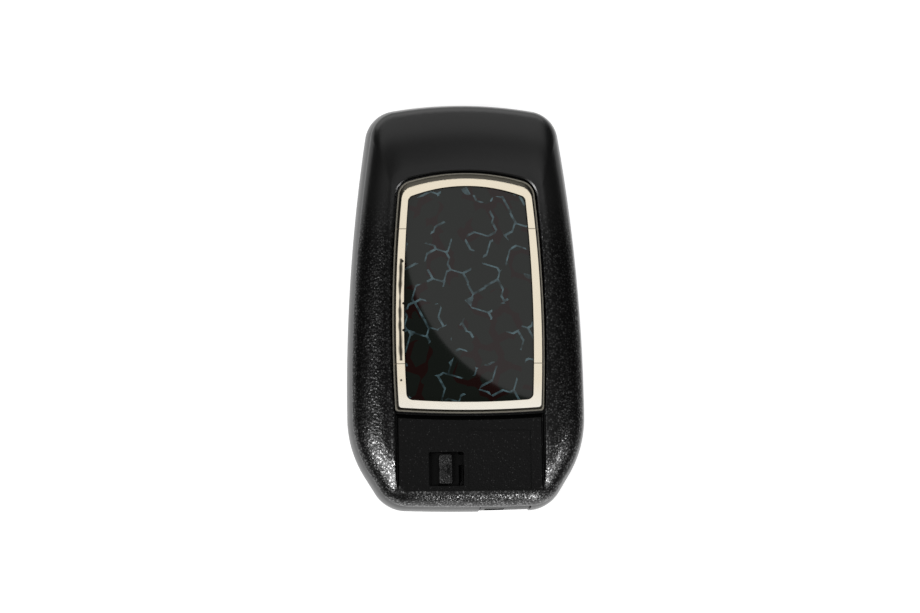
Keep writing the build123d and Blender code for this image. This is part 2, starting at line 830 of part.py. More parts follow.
with BuildPart() as module_gasket:
    with BuildSketch(Plane.XY.offset(module_top_z - gasket_depth)):
        add(module_outline(0, module_inset + gasket_margin))
        add(module_outline(0, module_inset + gasket_margin + gasket_width), mode=Mode.SUBTRACT)
    extrude(amount=gasket_depth)
save(module_gasket.part, "module_gasket")

with BuildPart() as module_cover:
    with BuildSketch(Plane.XY.offset(module_top_z)):
        add(module_outline(0, module_inset))
        with Locations((cell_x, cell_y)):
            Circle(cell_radius + cell_gap, mode=Mode.SUBTRACT)
        with Locations(*screw_places):
            Circle(screw_radius + fit_gap, mode=Mode.SUBTRACT)
    extrude(amount=module_cover_thickness)
    # Two curved ribs that hold the coin cell in place
    with BuildSketch(Plane.XY.offset(module_top_z)):
        with Locations((cell_x, cell_y)):
            Circle(cell_radius + cell_gap + cell_ring_wall)
            Circle(cell_radius + cell_gap, mode=Mode.SUBTRACT)
            Rectangle(cell_rib_span, 4 * cell_radius, mode=Mode.INTERSECT)
        with Locations((cell_x, cell_y + cell_radius)):
            Rectangle(1.25 * contact_width, cell_radius, mode=Mode.SUBTRACT)
    extrude(amount=-cell_rib_height)
save(module_cover.part, "module_cover")

with BuildPart() as module_screws:
    with BuildSketch(Plane.XY.offset(module_top_z - screw_length)):
        with Locations(*screw_places):
            Circle(screw_radius)
    extrude(amount=screw_length + module_cover_thickness)
    with BuildSketch(Plane.XY.offset(module_top_z + module_cover_thickness)):
        with Locations(*screw_places):
            Circle(screw_head_radius)
            Rectangle(screw_head_radius, screw_slot, mode=Mode.SUBTRACT)
            Rectangle(screw_slot, screw_head_radius, mode=Mode.SUBTRACT)
    extrude(amount=screw_head_height)
save(module_screws.part, "module_screws")

# Circuit board and what stands on it
with BuildPart() as circuit_board:
    with BuildSketch(Plane.XY.offset(board_z)):
        add(module_outline(0, module_inset + module_wall + board_gap))
        with Locations(*screw_places):
            Circle(screw_boss_radius + board_gap, mode=Mode.SUBTRACT)
    extrude(amount=board_thickness)
save(circuit_board.part, "circuit_board")

for name, (switch_x, switch_y) in zip(("lock_switch", "unlock_switch", "trunk_switch"), button_places):
    with BuildPart() as tact_switch:
        with BuildSketch(Plane.XY.offset(board_z - switch_body)):
            with Locations((switch_x, switch_y)):
                RectangleRounded(switch_side, switch_side, board_gap)
        extrude(amount=switch_body)
        with BuildSketch(Plane.XY.offset(board_z - switch_body - stem_height)):
            with Locations((switch_x, switch_y)):
                Circle(stem_radius)
        extrude(amount=stem_height)
    save(tact_switch.part, name)

with BuildPart() as indicator_led:
    with BuildSketch(Plane.XY.offset(led_z)):
        with Locations((0, light_y)):
            Rectangle(2 * led_height, led_height * 1.5)
    extrude(amount=led_height)
save(indicator_led.part, "indicator_led")

for name, chip_x, chip_y, chip_size in board_chips:
    with BuildPart() as chip:
        with BuildSketch(Plane.XY.offset(board_top_z)):
            with Locations((chip_x, chip_y)):
                Rectangle(*chip_size[:2])
        extrude(amount=chip_size[2])
        chamfer(chip.faces().sort_by(Axis.Z)[-1].edges(), chip_edge)
    save(chip.part, name)

with BuildPart() as chip_capacitors:
    with BuildSketch(Plane.XY.offset(board_top_z)):
        with Locations((guide_low_x - capacitor_inset, capacitor_y)):
            with GridLocations(1.5 * capacitor_pitch, capacitor_pitch, 2, 4):
                Rectangle(*capacitor_size)
    extrude(amount=capacitor_size[1])
save(chip_capacitors.part, "chip_capacitors")

with BuildPart() as antenna_core:
    with BuildSketch(Plane.XY.offset(board_top_z)):
        with Locations((antenna_x, antenna_y)):
            RectangleRounded(antenna_side, antenna_side, 1)
    extrude(amount=antenna_height)
    with BuildSketch(Plane.XY.offset(board_top_z + antenna_flange)):
        with Locations((antenna_x, antenna_y)):
            RectangleRounded(antenna_side, antenna_side, 1)
            RectangleRounded(
                antenna_side - 2 * winding_depth, antenna_side - 2 * winding_depth, 1, mode=Mode.SUBTRACT
            )
    extrude(amount=antenna_height - 2 * antenna_flange, mode=Mode.SUBTRACT)
save(antenna_core.part, "antenna_core")

with BuildPart() as antenna_winding:
    with BuildSketch(Plane.XY.offset(board_top_z + antenna_flange)):
        with Locations((antenna_x, antenna_y)):
            RectangleRounded(antenna_side - winding_depth / 2, antenna_side - winding_depth / 2, 1)
            RectangleRounded(
                antenna_side - 2 * winding_depth, antenna_side - 2 * winding_depth, 1, mode=Mode.SUBTRACT
            )
    extrude(amount=antenna_height - 2 * antenna_flange)
save(antenna_winding.part, "antenna_winding")

# Coin cell: a wide can with its smaller lower pole
with BuildPart() as coin_cell:
    with BuildSketch(Plane.XY.offset(cell_z)):
        with Locations((cell_x, cell_y)):
            Circle(cell_radius - cell_step)
    extrude(amount=cell_thickness)
    with BuildSketch(Plane.XY.offset(cell_z + cell_step / 2)):
        with Locations((cell_x, cell_y)):
            Circle(cell_radius)
    extrude(amount=cell_thickness - cell_step / 2)
    fillet(coin_cell.faces().sort_by(Axis.Z)[-1].edges(), cell_step / 3)
save(coin_cell.part, "coin_cell")

with BuildPart() as negative_contact:
    with BuildSketch(Plane.XY.offset(board_top_z)):
        with Locations((cell_x, cell_y)):
            RectangleRounded(cell_radius, contact_width, contact_width / 4)
    extrude(amount=contact_thickness)
    with BuildSketch(Plane.XY.offset(board_top_z + contact_thickness)):
        with Locations((cell_x, cell_y)):
            with GridLocations(cell_radius / 2, contact_width, 2, 1):
                Circle(contact_width / 5)
    extrude(amount=cell_lift - contact_thickness)
save(negative_contact.part, "negative_contact")

with BuildPart() as positive_contact:
    with BuildSketch(Plane.XY.offset(board_top_z)):
        with Locations((cell_x, cell_y + cell_radius + contact_gap)):
            Rectangle(contact_width, contact_width / 2, align=(Align.CENTER, Align.MIN))
    extrude(amount=contact_thickness)
    with BuildSketch(Plane.XY.offset(board_top_z)):
        with Locations((cell_x, cell_y + cell_radius + contact_gap)):
            Rectangle(contact_width, contact_thickness, align=(Align.CENTER, Align.MIN))
    extrude(amount=cell_lift + cell_thickness / 2)
save(positive_contact.part, "positive_contact")

# Sleeve that guides the key's blade
with BuildPart() as blade_guide:
    with BuildSketch(Plane.XY.offset(board_top_z)):
        with Locations((blade_x, guide_low_y)):
            Rectangle(
                blade_width + 2 * (channel_side_gap + channel_wall), guide_high_y - guide_low_y,
                align=(Align.CENTER, Align.MIN),
            )
    extrude(amount=guide_top_z - board_top_z)
    with BuildSketch(Plane.XZ.offset(-guide_low_y)):
        with Locations((blade_x, blade_height)):
            Rectangle(blade_width + 2 * channel_side_gap, blade_thickness + 2 * channel_side_gap)
    extrude(amount=guide_low_y + channel_wall - guide_high_y, mode=Mode.SUBTRACT)
save(blade_guide.part, "blade_guide")

# Release slider: plate, spring end, latch end and knob
with BuildPart() as release_slider:
    with BuildSketch(Plane.XY.offset(slider_top_z)):
        with Locations((slider_low_x, slider_y)):
            Rectangle(slider_plate_width, slider_plate_length, align=(Align.MIN, Align.CENTER))
    extrude(amount=-slider_plate_thickness)
    with BuildSketch(Plane.XY.offset(slider_foot_z)):
        with Locations((slider_low_x, slider_y)):
            Rectangle(spring_seat, spring_seat_width, align=(Align.MIN, Align.CENTER))
        with Locations((slider_high_x - spring_seat, latch_y)):
            Rectangle(
                latch_tip_x - slider_high_x + spring_seat, latch_arm_width, align=(Align.MIN, Align.CENTER)
            )
    extrude(amount=slider_top_z - slider_foot_z)
    with BuildSketch(Plane.XY.offset(latch_z)):
        with Locations((latch_tip_x, latch_y)):
            Rectangle(latch_nose_length, latch_arm_width, align=(Align.MAX, Align.CENTER))
    extrude(amount=slider_foot_z - latch_z)
    with BuildSketch(Plane.YZ.offset(slider_low_x)):
        with Locations((slider_y, spring_z)):
            Circle(peg_radius)
    extrude(amount=-peg_length)
    with BuildSketch(Plane.XY.offset(slider_top_z)):
        with Locations((slider_middle_x, slider_y)):
            RectangleRounded(knob_width, knob_length, knob_edge)
    extrude(amount=knob_top_z - slider_top_z)
    fillet(release_slider.faces().sort_by(Axis.Z)[-1].edges(), knob_edge / 2)
    with BuildSketch(Plane.XY.offset(knob_top_z)):
        with Locations((slider_middle_x, slider_y)):
            Polygon(
                (-arrow_size / 2, 0),
                (arrow_size / 4, -arrow_size / 2),
                (arrow_size / 4, arrow_size / 2),
                align=None,
            )
    extrude(amount=-arrow_depth, mode=Mode.SUBTRACT)
save(release_slider.part, "release_slider")

with BuildPart() as slider_spring:
    with BuildLine():
        coil = Helix(
            pitch=(spring_length - spring_wire) / spring_turns,
            height=spring_length - spring_wire,
            radius=spring_radius,
            center=(spring_wall_x + spring_wire / 2, slider_y, spring_z),
            direction=(1, 0, 0),
        )
    with BuildSketch(Plane(origin=coil @ 0, z_dir=coil % 0)):
        RegularPolygon(spring_wire / 2, 6)
    sweep(path=coil, is_frenet=True)
save(slider_spring.part, "slider_spring")

with BuildPart() as slider_retainer:
    with BuildSketch(Plane.XY.offset(retainer_top_z)):
        with Locations((retainer_low_x, slider_y)):
            Rectangle(retainer_high_x - retainer_low_x, retainer_width, align=(Align.MIN, Align.CENTER))
        with Locations((retainer_high_x, latch_y)):
            Rectangle(2 * latch_room, latch_arm_width + 4 * latch_clearance, mode=Mode.SUBTRACT)
        with Locations(*retainer_screws_at):
            Circle(retainer_screw_radius + fit_gap, mode=Mode.SUBTRACT)
    extrude(amount=-retainer_thickness)
save(slider_retainer.part, "slider_retainer")

with BuildPart() as retainer_screws:
    with BuildSketch(Plane.XY.offset(retainer_top_z - retainer_thickness)):
        with Locations(*retainer_screws_at):
            Circle(retainer_screw_radius)
    extrude(amount=retainer_thickness + retainer_screw_grip)
    with BuildSketch(Plane.XY.offset(retainer_top_z - retainer_thickness)):
        with Locations(*retainer_screws_at):
            Circle(2 * retainer_screw_radius)
            Rectangle(2 * retainer_screw_radius, screw_slot, mode=Mode.SUBTRACT)
            Rectangle(screw_slot, 2 * retainer_screw_radius, mode=Mode.SUBTRACT)
    extrude(amount=-screw_head_height)
save(retainer_screws.part, "retainer_screws")

# Emergency key: head with ring hole, pin and blade
with BuildPart() as key_head:
    loft(sections=front_sections(head_recess))
    with BuildSketch(Plane.XY.offset(head_recess)):
        with Locations((head_middle_x, head_inner_y)):
            Rectangle(head_width, body_width, align=(Align.CENTER, Align.MAX))
    extrude(amount=head_top_z - head_recess, mode=Mode.INTERSECT)
    with BuildSketch(Plane.XY):
        with Locations((ring_hole_x, ring_hole_y)):
            Circle(ring_hole_radius)
    extrude(amount=ring_slot_z + ring_slot_height, mode=Mode.SUBTRACT)
    with BuildSketch(Plane.XY.offset(ring_slot_z)):
        with Locations((ring_hole_x, ring_hole_y)):
            Rectangle(2 * ring_hole_radius, body_width, align=(Align.CENTER, Align.MAX))
    extrude(amount=ring_slot_height, mode=Mode.SUBTRACT)
    with BuildSketch(Plane.XY.offset(latch_z - latch_clearance)):
        with Locations((head_low_x, latch_y)):
            Rectangle(2 * latch_nose_depth, latch_arm_width + 2 * latch_clearance)
    extrude(amount=head_top_z, mode=Mode.SUBTRACT)
    with BuildSketch(Plane.XY.offset(blade_height - blade_thickness / 2)):
        with Locations((blade_x, head_inner_y)):
            Rectangle(blade_tang_width, blade_tang_length, align=(Align.CENTER, Align.MAX))
    extrude(amount=blade_thickness, mode=Mode.SUBTRACT)
    with BuildSketch(Plane.XY.offset(pin_low_z)):
        with Locations((blade_x, pin_y)):
            Circle(pin_radius)
    extrude(amount=head_top_z - pin_low_z, mode=Mode.SUBTRACT)
save(key_head.part, "key_head")

with BuildPart() as key_blade:
    with BuildSketch(Plane.XY.offset(blade_height - blade_thickness / 2)):
        with Locations((blade_x, head_inner_y)):
            Rectangle(blade_width, blade_length, align=(Align.CENTER, Align.MIN))
        with Locations((blade_x, head_inner_y)):
            Rectangle(blade_tang_width, blade_tang_length, align=(Align.CENTER, Align.MAX))
        with Locations((blade_x, pin_y)):
            Circle(pin_radius, mode=Mode.SUBTRACT)
    extrude(amount=blade_thickness)
    chamfer(key_blade.edges().filter_by(Axis.Z).group_by(Axis.Y)[-1], blade_point, blade_point * 0.6)
    for side in (-1, 1):
        face_z = blade_height + side * blade_thickness / 2
        with BuildSketch(Plane.XY.offset(face_z)):
            add(track_outline(0))
        extrude(amount=-side * track_depth, mode=Mode.SUBTRACT)
save(key_blade.part, "key_blade")

with BuildPart() as head_pin:
    with BuildSketch(Plane.XY.offset(pin_low_z)):
        with Locations((blade_x, pin_y)):
            Circle(pin_radius)
    extrude(amount=head_top_z - pin_sink - pin_low_z)
save(head_pin.part, "head_pin")
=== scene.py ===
import math

import bpy
from mathutils import Matrix, Vector


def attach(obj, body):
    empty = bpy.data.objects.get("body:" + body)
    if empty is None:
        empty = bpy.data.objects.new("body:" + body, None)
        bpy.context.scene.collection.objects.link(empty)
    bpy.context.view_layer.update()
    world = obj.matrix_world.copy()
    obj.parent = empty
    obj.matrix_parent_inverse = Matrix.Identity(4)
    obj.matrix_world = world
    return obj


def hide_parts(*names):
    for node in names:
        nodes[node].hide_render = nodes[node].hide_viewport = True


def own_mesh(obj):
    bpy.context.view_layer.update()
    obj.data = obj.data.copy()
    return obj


mm = 0.001

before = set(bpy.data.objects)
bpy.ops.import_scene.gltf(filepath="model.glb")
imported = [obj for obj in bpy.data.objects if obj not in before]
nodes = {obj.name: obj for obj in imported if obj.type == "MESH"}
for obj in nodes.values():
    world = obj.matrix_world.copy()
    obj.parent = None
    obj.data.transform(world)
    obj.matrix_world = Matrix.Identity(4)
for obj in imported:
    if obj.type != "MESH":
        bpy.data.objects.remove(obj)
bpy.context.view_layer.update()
bpy.ops.object.select_all(action="DESELECT")
print("frame loaded:", len(nodes), "nodes")


def toLinear(text):
    # sRGB hex to the linear colour that the shaders take
    parts = [int(text[i : i + 2], 16) / 255 for i in (1, 3, 5)]
    return tuple(p / 12.92 if p <= 0.04045 else ((p + 0.055) / 1.055) ** 2.4 for p in parts) + (1.0,)


def findSocket(node, key):
    # an input of a node by its number, or by its name among the inputs in use
    if isinstance(key, int):
        return node.inputs[key]
    return next((socket for socket in node.inputs if socket.enabled and socket.name == key), None)


def linkUp(tree, node, links):
    # each link comes from a socket, or from a node, which gives its first output in use
    for key, source in links.items():
        if isinstance(source, bpy.types.Node):
            source = next(socket for socket in source.outputs if socket.enabled)
        tree.links.new(source, findSocket(node, key))


def addNode(tree, kind, settings=None, links=None):
    # adds a node; its settings are options of the node or values of its inputs, and colours are given as hex
    node = tree.nodes.new("ShaderNode" + kind)
    for key, value in (settings or {}).items():
        socket = findSocket(node, key)
        if socket is None:
            setattr(node, key, value)
        else:
            socket.default_value = toLinear(value) if isinstance(value, str) else value
    linkUp(tree, node, links or {})
    return node


def newMaterial(name, finish):
    # a Principled material with its plain values set on the shader's own sockets, and the point on the piece
    # by which its patterns are drawn
    material = bpy.data.materials.new(name)
    material.use_nodes = True
    tree = material.node_tree
    shader = tree.nodes["Principled BSDF"]
    words = {"colour": "Base Color", "rough": "Roughness", "metal": "Metallic", "ior": "IOR",
             "specular": "Specular IOR Level", "clear": "Transmission Weight",
             "glow": "Emission Strength", "glowColour": "Emission Color"}
    for key, value in finish.items():
        shader.inputs[words[key]].default_value = toLinear(value) if isinstance(value, str) else value
    point = addNode(tree, "TexCoord").outputs["Object"]
    return material, tree, shader, point


def paint(names, material):
    for name in names:
        mesh = nodes[name].data
        mesh.materials.clear()
        mesh.materials.append(material)


# camera: 200 mm lens a metre above the fob, leaning 6.5 degrees to its left and to its lower end
cameraSet = {
    "lookAt": (-0.87 * mm, 0.25 * mm, 7.0 * mm),
    "azimuth": 6.53,
    "elevation": 6.5,
    "roll": -0.93,
    "distance": 0.9942,
    "lens": 200.0,
    "sensor": 36.0,
    "clip": (0.05, 20.0),
}


def makeCamera(s):
    azimuth, elevation, roll = (math.radians(s[k]) for k in ("azimuth", "elevation", "roll"))
    away = Vector((-math.sin(azimuth), -math.sin(elevation), 0.0))
    away.z = math.sqrt(1 - away.length_squared)
    right = Vector((0, 1, 0)).cross(away).normalized()
    upward = away.cross(right)
    across = math.cos(roll) * right + math.sin(roll) * upward
    above = -math.sin(roll) * right + math.cos(roll) * upward
    place = Matrix((across, above, away)).transposed().to_4x4()
    place.translation = Vector(s["lookAt"]) + away * s["distance"]
    bpy.ops.object.camera_add()
    camera = bpy.context.object
    camera.name = "photoCamera"
    camera.matrix_world = place
    camera.data.lens = s["lens"]
    camera.data.sensor_width = s["sensor"]
    camera.data.clip_start, camera.data.clip_end = s["clip"]
    bpy.context.scene.camera = camera


makeCamera(cameraSet)
print("camera placed")

# studio: a white floor, a dim room and soft boxes; each box is a direction, a size and a brightness,
# where 1 is the white of the picture. The overhead light is round and stands off to the upper right, so
# that the bowed window shows its edge.
studioSet = {
    "floorSize": 8.0,
    "floorPaper": {"colour": "#8C8C8C", "rough": 0.9, "specular": 0.1, "glow": 0.90, "glowColour": "#FFFFFF"},
    "roomLight": 0.04,
    "boxDistance": 1.9,
    "boxes": [
        {"name": "overheadDisc", "shape": "ELLIPSE", "toward": (0.244, 0.196, 0.950), "size": (0.82, 0.82),
         "glow": 0.92},
        {"name": "leftBox", "toward": (-0.535, -0.260, 0.804), "size": (0.36, 1.1), "glow": 24.0},
        {"name": "rightBox", "toward": (0.672, -0.258, 0.695), "size": (0.16, 0.7), "glow": 26.0},
        {"name": "lowRightBox", "toward": (0.352, -0.871, 0.342), "size": (0.45, 0.7), "glow": 11.0},
        {"name": "lowBackBox", "toward": (-0.085, 0.974, 0.208), "size": (3.2, 0.78), "glow": 2.0},
        {"name": "highBackBox", "toward": (0.0, 0.730, 0.683), "size": (2.4, 1.1), "glow": 0.9},
    ],
}


def makeFloor(s):
    bpy.ops.mesh.primitive_plane_add(size=s["floorSize"], location=(0, 0, 0))
    floor = bpy.context.object
    floor.name = "paleFloor"
    paper = newMaterial("matWhitePaper", s["floorPaper"])[0]
    floor.data.materials.append(paper)


def makeBox(box, distance):
    toward = Vector(box["toward"]).normalized()
    bpy.ops.object.light_add(type="AREA", location=toward * distance)
    lamp = bpy.context.object
    lamp.name = box["name"]
    lamp.rotation_mode = "QUATERNION"
    lamp.rotation_quaternion = toward.to_track_quat("Z", "Y")
    lamp.data.shape = box.get("shape", "RECTANGLE")
    lamp.data.size, lamp.data.size_y = box["size"]
    area = box["size"][0] * box["size"][1]
    if lamp.data.shape == "ELLIPSE":
        area *= math.pi / 4
    lamp.data.energy = box["glow"] * math.pi * area


def makeRoom(s):
    # the room lights the fob dimly, and the camera sees it as white behind the floor
    world = bpy.data.worlds.new("studioRoom")
    bpy.context.scene.world = world
    world.use_nodes = True
    tree = world.node_tree
    room = tree.nodes["Background"]
    room.inputs["Color"].default_value = (1, 1, 1, 1)
    room.inputs["Strength"].default_value = s["roomLight"]
    backdrop = addNode(tree, "Background", {"Color": (1, 1, 1, 1), "Strength": 1.0})
    seen = addNode(tree, "LightPath").outputs["Is Camera Ray"]
    both = addNode(tree, "MixShader", {}, {0: seen, 1: room, 2: backdrop})
    linkUp(tree, tree.nodes["World Output"], {"Surface": both})
    bpy.context.scene.view_settings.view_transform = "Standard"


makeFloor(studioSet)
for box in studioSet["boxes"]:
    makeBox(box, studioSet["boxDistance"])
makeRoom(studioSet)
print("studio lit")

# back cover: injection moulded ABS with an etched leather grain on the shoulders, polished on its high points
# by handling, and a fine spark-eroded texture in the panel. The eye gets small separate glints on the slopes
# that fade out towards the smoother top end, brighter ones at the lower corners and on the ridges beside the
# panel, where the shine is raised as a painted highlight, and a dull dark panel. Both grains are drawn
# coarser than real ones, to show.
backSet = {
    "finish": {"colour": "#040404", "rough": 0.28},
    "slopes": {"size": 0.42 * mm, "depth": 0.055 * mm, "spot": 0.36 * mm, "radius": 0.62,
               "shine": (0.12, 1.0)},
    "panel": {"size": 0.30 * mm, "depth": 0.020 * mm, "spot": 0.46 * mm, "radius": 0.26,
              "shine": (0.19, 1.0)},
    "spotCore": 0.4,  # the fully bright share of a spot's radius
    "spotRarity": 1.3,  # above 1, fewer spots are bright
    "fadeY": (24.0 * mm, 9.0 * mm),
    "smoothShine": 0.5,
    "corners": {"y": (-14.0 * mm, -28.0 * mm), "gain": 2.0},
    "ridges": {"side": (16.2 * mm, 14.9 * mm), "y": (-22.0 * mm, -29.0 * mm), "gain": 2.2},
    "panelHalfWidth": 14.62 * mm,
    "panelY": (-36.2 * mm, -20.0 * mm),
    "panelTop": 12.96 * mm,
}


def grainField(tree, point, s, grain):
    # relief and shine: uneven bumps, and separate small spots of uneven brightness on them
    bumps = addNode(tree, "TexNoise", {"Scale": 1 / grain["size"], "Detail": 1.0, "Roughness": 0.4},
                    {"Vector": point})
    relief = addNode(tree, "Math", {"operation": "MULTIPLY", 1: grain["depth"]}, {0: bumps})
    cells = addNode(tree, "TexVoronoi", {"feature": "F1", "Scale": 1 / grain["spot"]}, {"Vector": point})
    radius = grain["radius"]
    near = addNode(tree, "MapRange", {"From Min": radius, "From Max": s["spotCore"] * radius},
                   {"Value": cells})
    chance = addNode(tree, "SeparateColor", {}, {0: cells.outputs["Color"]})
    uneven = addNode(tree, "Math", {"operation": "POWER", 1: s["spotRarity"]}, {0: chance})
    spot = addNode(tree, "Math", {"operation": "MULTIPLY"}, {0: near, 1: uneven})
    dull, bright = grain["shine"]
    return relief, addNode(tree, "MapRange", {"To Min": dull, "To Max": bright}, {"Value": spot})


def grainedAbs(s):
    material, tree, shader, point = newMaterial("grainedBlackAbs", s["finish"])
    place = addNode(tree, "SeparateXYZ", {}, {0: point}).outputs
    side = addNode(tree, "Math", {"operation": "ABSOLUTE"}, {0: place["X"]})
    panel = addNode(tree, "Math", {"operation": "LESS_THAN", 1: s["panelHalfWidth"]}, {0: side})
    for axis, operation, limit in (("Y", "GREATER_THAN", s["panelY"][0]), ("Y", "LESS_THAN", s["panelY"][1]),
                                   ("Z", "LESS_THAN", s["panelTop"])):
        kept = addNode(tree, "Math", {"operation": operation, 1: limit}, {0: place[axis]})
        panel = addNode(tree, "Math", {"operation": "MULTIPLY"}, {0: panel, 1: kept})
    coarse, glints = grainField(tree, point, s, s["slopes"])
    fine, specks = grainField(tree, point, s, s["panel"])

    # the grain fades towards the top end
    soft = {"interpolation_type": "SMOOTHSTEP"}
    start, full = s["fadeY"]
    grained = addNode(tree, "MapRange", {"From Min": start, "From Max": full, **soft}, {"Value": place["Y"]})
    coarse = addNode(tree, "Math", {"operation": "MULTIPLY"}, {0: coarse, 1: grained})
    glints = addNode(tree, "Mix", {"data_type": "FLOAT", "A": s["smoothShine"]},
                     {"Factor": grained, "B": glints})

    # painted highlight: the shine of the grain is raised at the lower corners, and most on the ridges beside
    # the panel
    start, full = s["corners"]["y"]
    highlightGain = addNode(tree, "MapRange", {"From Min": start, "From Max": full, "To Min": 1.0,
                                        "To Max": s["corners"]["gain"]}, {"Value": place["Y"]})
    start, full = s["ridges"]["side"]
    beside = addNode(tree, "MapRange", {"From Min": start, "From Max": full, **soft}, {"Value": side})
    start, full = s["ridges"]["y"]
    below = addNode(tree, "MapRange", {"From Min": start, "From Max": full, **soft}, {"Value": place["Y"]})
    ridge = addNode(tree, "Math", {"operation": "MULTIPLY"}, {0: beside, 1: below})
    highlightGain = addNode(tree, "Math", {"operation": "MULTIPLY_ADD", 1: s["ridges"]["gain"]},
                     {0: ridge, 2: highlightGain})
    glints = addNode(tree, "Math", {"operation": "MULTIPLY"}, {0: glints, 1: highlightGain})

    # the panel has its own finer grain; heights are in metres, so the bump's own distance is 1
    height = addNode(tree, "Mix", {"data_type": "FLOAT"}, {"Factor": panel, "A": coarse, "B": fine})
    shine = addNode(tree, "Mix", {"data_type": "FLOAT"}, {"Factor": panel, "A": glints, "B": specks})
    bump = addNode(tree, "Bump", {"Distance": 1.0}, {"Height": height})
    linkUp(tree, shader, {"Normal": bump, "Specular IOR Level": shine})
    return material


paint(["back_cover"], grainedAbs(backSet))


def mouldedSkin(s):
    # a plain moulded surface with the faint unevenness that its tool leaves
    material, tree, shader, point = newMaterial(s["name"], s["finish"])
    noise = addNode(tree, "TexNoise", {"Scale": 1 / s["size"], "Detail": s["detail"]}, {"Vector": point})
    bump = addNode(tree, "Bump", {"Distance": s["depth"]}, {"Height": noise})
    linkUp(tree, shader, {"Normal": bump})
    return material


# front cover: smooth moulded ABS with a low sheen
frontSet = {"name": "smoothBlackAbs", "size": 0.5 * mm, "detail": 2.0, "depth": 0.002 * mm,
            "finish": {"colour": "#0C0C0C", "rough": 0.30}}
paint(["front_cover"], mouldedSkin(frontSet))

# key head: the same ABS from another tool, a little duller and darker
headSet = {"name": "dullBlackAbs", "size": 0.35 * mm, "detail": 2.0, "depth": 0.006 * mm,
           "finish": {"colour": "#060606", "rough": 0.42, "specular": 0.4}}
paint(["key_head"], mouldedSkin(headSet))

# window carrier: black moulded ABS with its shine lowered as painted shade, so that it stays dark in the gap
# round the frame
carrierSet = {"name": "satinBlackAbsPaintedShade", "size": 0.4 * mm, "detail": 2.0, "depth": 0.004 * mm,
              "finish": {"colour": "#080808", "rough": 0.5, "specular": 0.3}}
paint(["window_carrier"], mouldedSkin(carrierSet))

# button panel: gloss black acrylic-capped ABS, mirror-like and slightly wavy
panelSet = {"name": "glossBlackAbs", "size": 2.5 * mm, "detail": 1.0, "depth": 0.006 * mm,
            "finish": {"colour": "#060606", "rough": 0.08}}
paint(["button_panel"], mouldedSkin(panelSet))

# buttons: satin soft-touch ABS caps
buttonSet = {"name": "satinButtonAbs", "size": 0.3 * mm, "detail": 2.0, "depth": 0.003 * mm,
             "finish": {"colour": "#151515", "rough": 0.38}}
paint(["lock_button", "unlock_button", "trunk_button"], mouldedSkin(buttonSet))

# light guide: clear moulded PMMA with a slight waviness
guideSet = {"name": "mouldedClearPmma", "size": 1.0 * mm, "detail": 1.0, "depth": 0.01 * mm,
            "finish": {"colour": "#EEF3F2", "rough": 0.06, "ior": 1.49, "clear": 1.0}}
paint(["light_guide"], mouldedSkin(guideSet))
print("covers and buttons finished")

# window frame: bright nickel and chrome plating on moulded ABS. The face is warm white and mirror-like,
# whiter towards the lower bar as a painted highlight; the recessed skirt and the foot are grey as painted
# shade, and the left bar has a painted dark reflection down its middle, with a few nicks.
frameSet = {
    "face": {"colour": "#EDE2CC", "low": 13.86 * mm, "rough": 0.07},
    "skirt": {"colour": "#4A4740", "rough": 0.42},
    "foot": {"colour": "#8A867B", "top": 13.13 * mm},
    "lowerBarHighlight": {"colour": "#F4EFE4", "y": (-15.0 * mm, -20.6 * mm)},
    "marks": {"colour": "#9A9283", "y": (14.6 * mm, -11.6 * mm), "halfWidth": 0.09 * mm},
    "paintedReflection": {"colour": "#37342D", "middle": -13.37 * mm, "halfWidth": 0.40 * mm, "y": (-11.0 * mm, 8.8 * mm),
              "bow": 2.5, "bowHigh": -4.0 * mm, "edgeGrain": 2.2 * mm, "contrast": 1.5},
    # x, y and radius of each nick, in millimetres
    "nicks": [(-12.75, 8.3, 0.28), (-12.65, 0.1, 0.24), (-12.7, -5.1, 0.26), (-13.3, -14.8, 0.22)],
    "wave": {"size": 3.0 * mm, "depth": 0.012 * mm},
}


def paintedReflectionAndNicks(tree, point, place, s, nicks):
    # 1 on the nicks and on the painted dark reflection, a line which has a ragged edge and follows the left
    # bar: its x moves by the bow times the squared distance from the bow's highest point
    fromHigh = addNode(tree, "Math", {"operation": "SUBTRACT", 1: s["bowHigh"]}, {0: place["Y"]})
    square = addNode(tree, "Math", {"operation": "MULTIPLY"}, {0: fromHigh, 1: fromHigh})
    middle = addNode(tree, "Math", {"operation": "MULTIPLY_ADD", 1: s["bow"], 2: s["middle"]}, {0: square})
    offset = addNode(tree, "Math", {"operation": "SUBTRACT"}, {0: place["X"], 1: middle})
    across = addNode(tree, "Math", {"operation": "ABSOLUTE"}, {0: offset})
    ragged = addNode(tree, "TexNoise", {"Scale": 1 / s["edgeGrain"], "Detail": 1.0}, {"Vector": point})
    width = addNode(tree, "Math", {"operation": "MULTIPLY", 1: 2 * s["halfWidth"]}, {0: ragged})
    inside = addNode(tree, "MapRange", {"To Min": 1.0, "To Max": 0.0}, {"Value": across, "From Max": width})
    dark = addNode(tree, "Math", {"operation": "MULTIPLY", 1: s["contrast"], "use_clamp": True}, {0: inside})
    for limit, operation in zip(s["y"], ("GREATER_THAN", "LESS_THAN")):
        kept = addNode(tree, "Math", {"operation": operation, 1: limit}, {0: place["Y"]})
        dark = addNode(tree, "Math", {"operation": "MULTIPLY"}, {0: dark, 1: kept})
    flat = addNode(tree, "VectorMath", {"operation": "MULTIPLY", 1: (1.0, 1.0, 0.0)}, {0: point})
    for x, y, radius in nicks:
        apart = addNode(tree, "VectorMath", {"operation": "DISTANCE", 1: (x * mm, y * mm, 0.0)}, {0: flat})
        nick = addNode(tree, "Math", {"operation": "LESS_THAN", 1: radius * mm}, {0: apart})
        dark = addNode(tree, "Math", {"operation": "MAXIMUM"}, {0: dark, 1: nick})
    return dark


